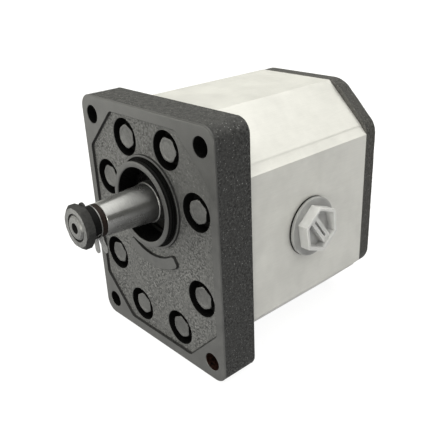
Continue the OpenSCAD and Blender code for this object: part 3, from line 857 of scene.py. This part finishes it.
def nut():
    """Thin hex nut: black sides, front face worn by the spanner, and the mouth of the thread painted dark
    as the shade in the gap round the stud.
    """
    lo, hi = box_mm("shaft_nut")
    front_y, back_y = lo[1], hi[1]
    thread_y, mouth_r = front_y + 1.4, 7.6
    start = [(nut_bore_r, thread_y), (nut_bore_r, front_y + 0.65), (mouth_r, front_y)]
    end = [(nut_bore_r + 0.4, back_y), (nut_bore_r, back_y - 0.4), (nut_bore_r, thread_y)]
    side_r = nut_hex * 0.5 - 0.3

    # Slot 2 is painted shade: the thread's mouth is dark, as the gap round the stud is.
    def slot_of(near, far, front):
        return 2 if far < mouth_r + 0.32 else 1 if near > side_r else 0

    s = Shell()
    hex_solid(s, axis, nut_hex, 0, front_y, back_y, start, end, slot_of, True)
    s.build("shaft_hex_nut", "drive", "shaft_nut", [worn_steel, black_steel, washer_black])


def choose_faces(node, extra, choose):
    """Gives some faces of a CAD node another material: choose gets centre (mm), distance from the
    shaft axis (mm) and normal, and returns a slot number."""
    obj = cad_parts[node]
    for material in extra:
        obj.data.materials.append(material)
    turn = obj.matrix_world.to_3x3()
    for face in obj.data.polygons:
        centre = obj.matrix_world @ face.center / MM
        normal = (turn @ face.normal).normalized()
        face.material_index = choose(centre, math.hypot(centre.x, centre.z), normal)


def shaft_faces(centre, reach, normal):
    """Slots of the drive shaft: 0 ground, 1 worn stud, 2 dark drilling, 3 shoulder face painted dark as
    shade, 4 its edge painted bright as a highlight line.
    """
    if centre.y < taper_small_y - 0.5:
        drilled = reach < drilling_r and (normal.y > -0.98 or centre.y > stud_end_y + 1)
        return 2 if drilled else 1
    # Painted shade on the shoulder's face and a painted highlight line on its edge.
    if shoulder_face_y[0] < centre.y < shoulder_face_y[1] and normal.y < -0.4 and reach > shoulder_face_r:
        return 3 if normal.y < -0.95 else 4
    return 0


def lock_washer_faces(centre, reach, normal):
    """Slots of the lock washer: 0 ring, 1 the faces of its split, painted bright as a highlight, 2 its lug.
    """
    if reach > lock_washer_r:
        return 2
    along = (normal.x * centre.x + normal.z * centre.z) / reach
    # Painted highlight on the end faces of the split.
    return 1 if abs(normal.y) < 0.95 and abs(along) < 0.3 and centre.z < 0 else 0


def circlip_faces(centre, reach, normal):
    """Slots of the circlip: 0 dull, 1 inner edge on the upper left, painted bright as highlight lines."""
    return 1 if abs(normal.y) < 0.3 and centre.x < 0 and centre.z > 0 else 0


def disc_faces(node):
    """Slots of a plug: 0 hexagon head, 1 the thin disc under it."""
    lo, hi = box_mm(node)
    disc_x = max(abs(lo[0]), abs(hi[0])) - plug_head_h + 0.1
    return lambda centre, reach, normal: 1 if abs(centre.x) < disc_x else 0


flange()
cover()
bolts()
nut()

painted = [
    ("pump_body", aluminium, "body_aluminium", edge_rounding(0.4)),
    ("front_bearing_block rear_bearing_block", aluminium, "block_aluminium", ()),
    ("drive_gear_shaft driven_gear_shaft front_dowels rear_dowels", ground, "ground_steel", ()),
    ("lock_washer", washer_black, "black_steel", edge_rounding(0.2)),
    ("tab_washer", plated, "plated_steel", edge_rounding(0.12)),
    ("shaft_washer", washer_brown, "black_steel", edge_rounding(0.3)),
    ("shaft_key", bolt_steel, "bolt_steel", ()),
    ("bolt_washers", washer_black, "bolt_steel", edge_rounding(0.2)),
    ("seal_circlip", dull_spring, "spring_steel", edge_rounding(0.15)),
    ("seal_spring", dull_spring, "spring_steel", ()),
    ("shaft_seal", black_rubber, "black_rubber", edge_rounding(0.2)),
    ("pilot_o_ring", ring_rubber, "black_rubber", ()),
    ("front_body_seal rear_body_seal", black_rubber, "black_rubber", ()),
    ("front_balance_seal rear_balance_seal", black_rubber, "black_rubber", ()),
    ("outlet_gasket inlet_gasket", black_rubber, "black_rubber", edge_rounding(0.25)),
    ("front_backup_strip rear_backup_strip", backup_plastic, "backup_plastic", ()),
    ("drive_front_bush drive_rear_bush driven_front_bush driven_rear_bush", bronze, "bush_bronze", ()),
    ("outlet_plug inlet_plug", plug_plastic, "plug_plastic", edge_rounding(0.65, 4)),
]
for nodes, material, slot, modifiers in painted:
    for node in nodes.split():
        paint_node(node, material, slot, modifiers)

choose_faces("drive_gear_shaft", [worn_steel, washer_black, black_steel, plated], shaft_faces)
choose_faces("lock_washer", [spring, black_steel], lock_washer_faces)
choose_faces("seal_circlip", [spring], circlip_faces)
for node in ("outlet_plug", "inlet_plug"):
    choose_faces(node, [disc_plastic], disc_faces(node))


# ---------------------------------------------------------------- scene


warm = (1.0, 0.995, 0.90)
noon = (1.0, 0.998, 0.95)


def floor():
    """Pale studio floor under the flange's foot. It is lit brighter for the eye than for the pump."""
    size, seen_glow, glow = 6.0, 0.45, 0.45
    mesh = bpy.data.meshes.new("floor")
    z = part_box("front_flange")[0].z
    corners = [(-size, -size, z), (size, -size, z), (size, size, z), (-size, size, z)]
    mesh.from_pydata(corners, [], [(0, 1, 2, 3)])
    n = Nodes("studio_floor", 0.0, 0.9)
    n.shader.inputs["Emission Color"].default_value = (1, 1, 1, 1)
    seen = n.add("ShaderNodeLightPath").outputs["Is Camera Ray"]
    total = n.math("ADD", n.math("MULTIPLY", seen, seen_glow), glow)
    n.link(total, n.shader.inputs["Emission Strength"])
    mesh.materials.append(n.finish(n.ramp(n.noise(60, 2), [(0.3, 0.13), (0.7, 0.15)])))
    add("floor", mesh)


def camera():
    """Camera at the photograph's viewing angle."""
    azimuth, elevation, roll = math.radians(48.54), math.radians(24.58), math.radians(-2.55)
    target = Vector((44.1, 16.5, -3.8)) * MM
    distance = 330 * MM
    back = Vector((math.sin(azimuth) * math.cos(elevation), -math.cos(azimuth) * math.cos(elevation),
                   math.sin(elevation)))
    data = bpy.data.cameras.new("camera")
    data.sensor_width = 36
    data.lens = 49.8
    data.clip_start = 0.01
    data.clip_end = 50
    obj = add("camera", data)
    turn = (-back).to_track_quat("-Z", "Y").to_matrix() @ Matrix.Rotation(roll, 3, "Z")
    obj.matrix_world = Matrix.Translation(target + back * distance) @ turn.to_4x4()
    bpy.context.scene.camera = obj


def soft_light(name, place, size, power):
    """Square area light at place, in metres, aimed at the pump."""
    data = bpy.data.lights.new(name, "AREA")
    data.shape = "SQUARE"
    data.size = size
    data.energy = power
    data.color = warm
    aim = Vector((0.02, 0.05, -0.02))
    turn = (aim - Vector(place)).to_track_quat("-Z", "Y").to_matrix()
    add(name, data).matrix_world = Matrix.Translation(place) @ turn.to_4x4()


def sun(name, toward, strength, spread_deg):
    """Broad parallel light; toward points from the pump to the light."""
    data = bpy.data.lights.new(name, "SUN")
    data.energy = strength
    data.color = noon
    data.angle = math.radians(spread_deg)
    obj = add(name, data)
    obj.rotation_mode = "QUATERNION"
    obj.rotation_quaternion = Vector(toward).to_track_quat("Z", "Y")


def studio():
    """Soft sky that is brighter on the left, one broad light above and two weak ones in front."""
    left_glow, right_glow = 0.78, 0.20
    world = bpy.data.worlds.new("studio")
    world.use_nodes = True
    tree = world.node_tree
    background = tree.nodes["Background"]
    around = tree.nodes.new("ShaderNodeTexCoord")
    split = tree.nodes.new("ShaderNodeSeparateXYZ")
    across = tree.nodes.new("ShaderNodeMapRange")
    tree.links.new(around.outputs["Generated"], split.inputs["Vector"])
    tree.links.new(split.outputs["X"], across.inputs["Value"])
    across.inputs["From Min"].default_value = -1.0
    across.inputs["From Max"].default_value = 1.0
    across.inputs["To Min"].default_value = left_glow
    across.inputs["To Max"].default_value = right_glow
    tree.links.new(across.outputs["Result"], background.inputs["Strength"])
    background.inputs["Color"].default_value = (*warm, 1)
    bpy.context.scene.world = world
    sun("overhead", (0.22, 0.08, 1.0), 3.35, 90)
    soft_light("front_left", (-0.45, -0.60, 0.02), 0.40, 2.8)
    soft_light("front", (0.28, -0.75, 0.0), 0.3, 3.3)
    bpy.context.scene.view_settings.view_transform = "Standard"


floor()
camera()
studio()
